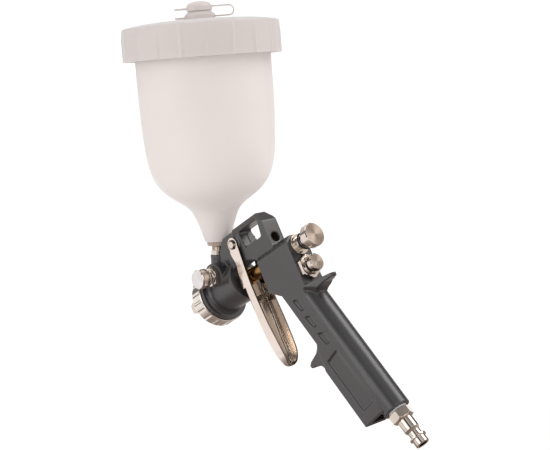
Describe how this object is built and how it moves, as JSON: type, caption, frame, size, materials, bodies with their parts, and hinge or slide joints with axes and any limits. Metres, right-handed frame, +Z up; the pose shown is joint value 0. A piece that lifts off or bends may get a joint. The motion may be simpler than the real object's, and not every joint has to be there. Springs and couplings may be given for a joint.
{
  "type": "gravity feed spray gun",
  "caption": "Gravity-feed air spray gun with a translucent screw-lid cup, pivoting trigger, adjusting knobs, turnable air cap and quick-release air plug.",
  "frame": {"origin": "tip of the fluid nozzle, on the needle's axis", "axes": "+X to the rear along the needle, +Z up with the gun held level, -Y the side with the fan control"},
  "size_m": [0.1634, 0.1152, 0.3582],
  "materials": {
    "painted_casting": "cast, under satin anthracite paint",
    "nickel": "bright nickel plate",
    "steel": "ground",
    "dark_steel": "blackened",
    "brass": "turned",
    "rubber": "matt",
    "ptfe": "white",
    "cup_plastic": "milky translucent",
    "lid_plastic": "milky translucent",
    "collar_plastic": "translucent brown",
    "mesh_plastic": "white"
  },
  "bodies": {
    "gun": {"gun_body": "painted_casting", "gallery_plug": "brass", "fluid_nozzle": "steel", "air_distributor": "brass", "needle_seal": "ptfe", "packing_nut": "brass", "needle_spring": "steel", "fluid_bush": "nickel", "trigger_pin": "nickel", "pin_clip": "dark_steel", "valve_gland": "nickel", "stem_seal": "ptfe", "air_valve_seat": "brass", "air_valve_spring": "steel", "air_valve_nut": "nickel", "fan_gland": "nickel", "cup_inlet": "nickel", "cup": "cup_plastic", "cup_collar": "collar_plastic", "cup_filter": "mesh_plastic", "plug_seal": "ptfe", "air_plug": "nickel"},
    "trigger": {"trigger": "nickel"},
    "needle": {"fluid_needle": "steel", "needle_carrier": "brass"},
    "air_stem": {"air_valve_stem": "steel"},
    "cap_carrier": {"cap_snap_ring": "dark_steel"},
    "cap_ring": {"air_cap_ring": "nickel"},
    "air_cap": {"air_cap": "nickel"},
    "fluid_stop": {"fluid_oring": "rubber"},
    "fluid_knob": {"fluid_knob": "nickel"},
    "air_stop": {"air_oring": "rubber"},
    "air_knob": {"air_knob": "nickel", "air_spindle": "steel"},
    "fan_stop": {"fan_oring": "rubber"},
    "fan_knob": {"fan_knob": "nickel", "fan_spindle": "steel"},
    "lid_seal": {"lid_gasket": "rubber"},
    "lid": {"cup_lid": "lid_plastic", "vent_collar": "lid_plastic", "vent_tether": "lid_plastic"},
    "vent_cap": {"vent_cap": "lid_plastic"}
  },
  "joints": [
    {"name": "trigger_pull", "type": "hinge", "parent": "gun", "child": "trigger", "pos_m": [0.0535, 0, 0.0246], "axis": [0, -1, 0], "range_deg": [0, 10], "stiffness_Nm_per_rad": 4, "springref_deg": -4.58},
    {"name": "needle_slide", "type": "slide", "parent": "gun", "child": "needle", "axis": [1, 0, 0], "range_m": [0, 0.006], "deforming": ["needle_spring"]},
    {"name": "air_valve_slide", "type": "slide", "parent": "gun", "child": "air_stem", "axis": [1, 0, 0], "range_m": [0, 0.008], "deforming": ["air_valve_spring"]},
    {"name": "ring_travel", "type": "slide", "parent": "gun", "child": "cap_carrier", "axis": [-1, 0, 0], "range_m": [0, 0.006]},
    {"name": "ring_turn", "type": "hinge", "parent": "cap_carrier", "child": "cap_ring", "pos_m": [0, 0, 0], "axis": [-1, 0, 0], "range_deg": [0, 1444]},
    {"name": "air_cap_turn", "type": "hinge", "parent": "cap_carrier", "child": "air_cap", "pos_m": [0, 0, 0], "axis": [1, 0, 0], "range_deg": [-90, 90]},
    {"name": "fluid_knob_travel", "type": "slide", "parent": "gun", "child": "fluid_stop", "axis": [1, 0, 0], "range_m": [0, 0.003]},
    {"name": "fluid_knob_turn", "type": "hinge", "parent": "fluid_stop", "child": "fluid_knob", "pos_m": [0.11, 0, 0], "axis": [1, 0, 0], "range_deg": [0, 1083]},
    {"name": "air_knob_travel", "type": "slide", "parent": "gun", "child": "air_stop", "axis": [1, 0, 0], "range_m": [0, 0.003]},
    {"name": "air_knob_turn", "type": "hinge", "parent": "air_stop", "child": "air_knob", "pos_m": [0.11, 0, -0.0168], "axis": [1, 0, 0], "range_deg": [0, 1083]},
    {"name": "fan_knob_travel", "type": "slide", "parent": "gun", "child": "fan_stop", "axis": [0, -1, 0], "range_m": [0, 0.003]},
    {"name": "fan_knob_turn", "type": "hinge", "parent": "fan_stop", "child": "fan_knob", "pos_m": [0.0258, 0, 0.0121], "axis": [0, -1, 0], "range_deg": [0, 1083]},
    {"name": "lid_travel", "type": "slide", "parent": "gun", "child": "lid_seal", "axis": [0.454, 0, 0.891], "range_m": [0, 0.0201]},
    {"name": "lid_turn", "type": "hinge", "parent": "lid_seal", "child": "lid", "pos_m": [0.0113, 0, 0], "axis": [0.454, 0, 0.891], "range_deg": [0, 720]},
    {"name": "vent_cap_lift", "type": "slide", "parent": "lid", "child": "vent_cap", "axis": [0.454, 0, 0.891], "range_m": [0, 0.01], "deforming": ["vent_tether"]}
  ],
  "couplings": [
    {"joint": "needle_slide", "follows": "trigger_pull", "m_per_rad": 0.0304},
    {"joint": "air_valve_slide", "follows": "trigger_pull", "m_per_rad": 0.0435},
    {"joint": "ring_turn", "follows": "ring_travel", "rad_per_m": 4188.8},
    {"joint": "fluid_knob_turn", "follows": "fluid_knob_travel", "rad_per_m": 6283.2},
    {"joint": "air_knob_turn", "follows": "air_knob_travel", "rad_per_m": 6283.2},
    {"joint": "fan_knob_turn", "follows": "fan_knob_travel", "rad_per_m": 6283.2},
    {"joint": "lid_travel", "follows": "lid_turn", "m_per_rad": 0.0015915}
  ]
}
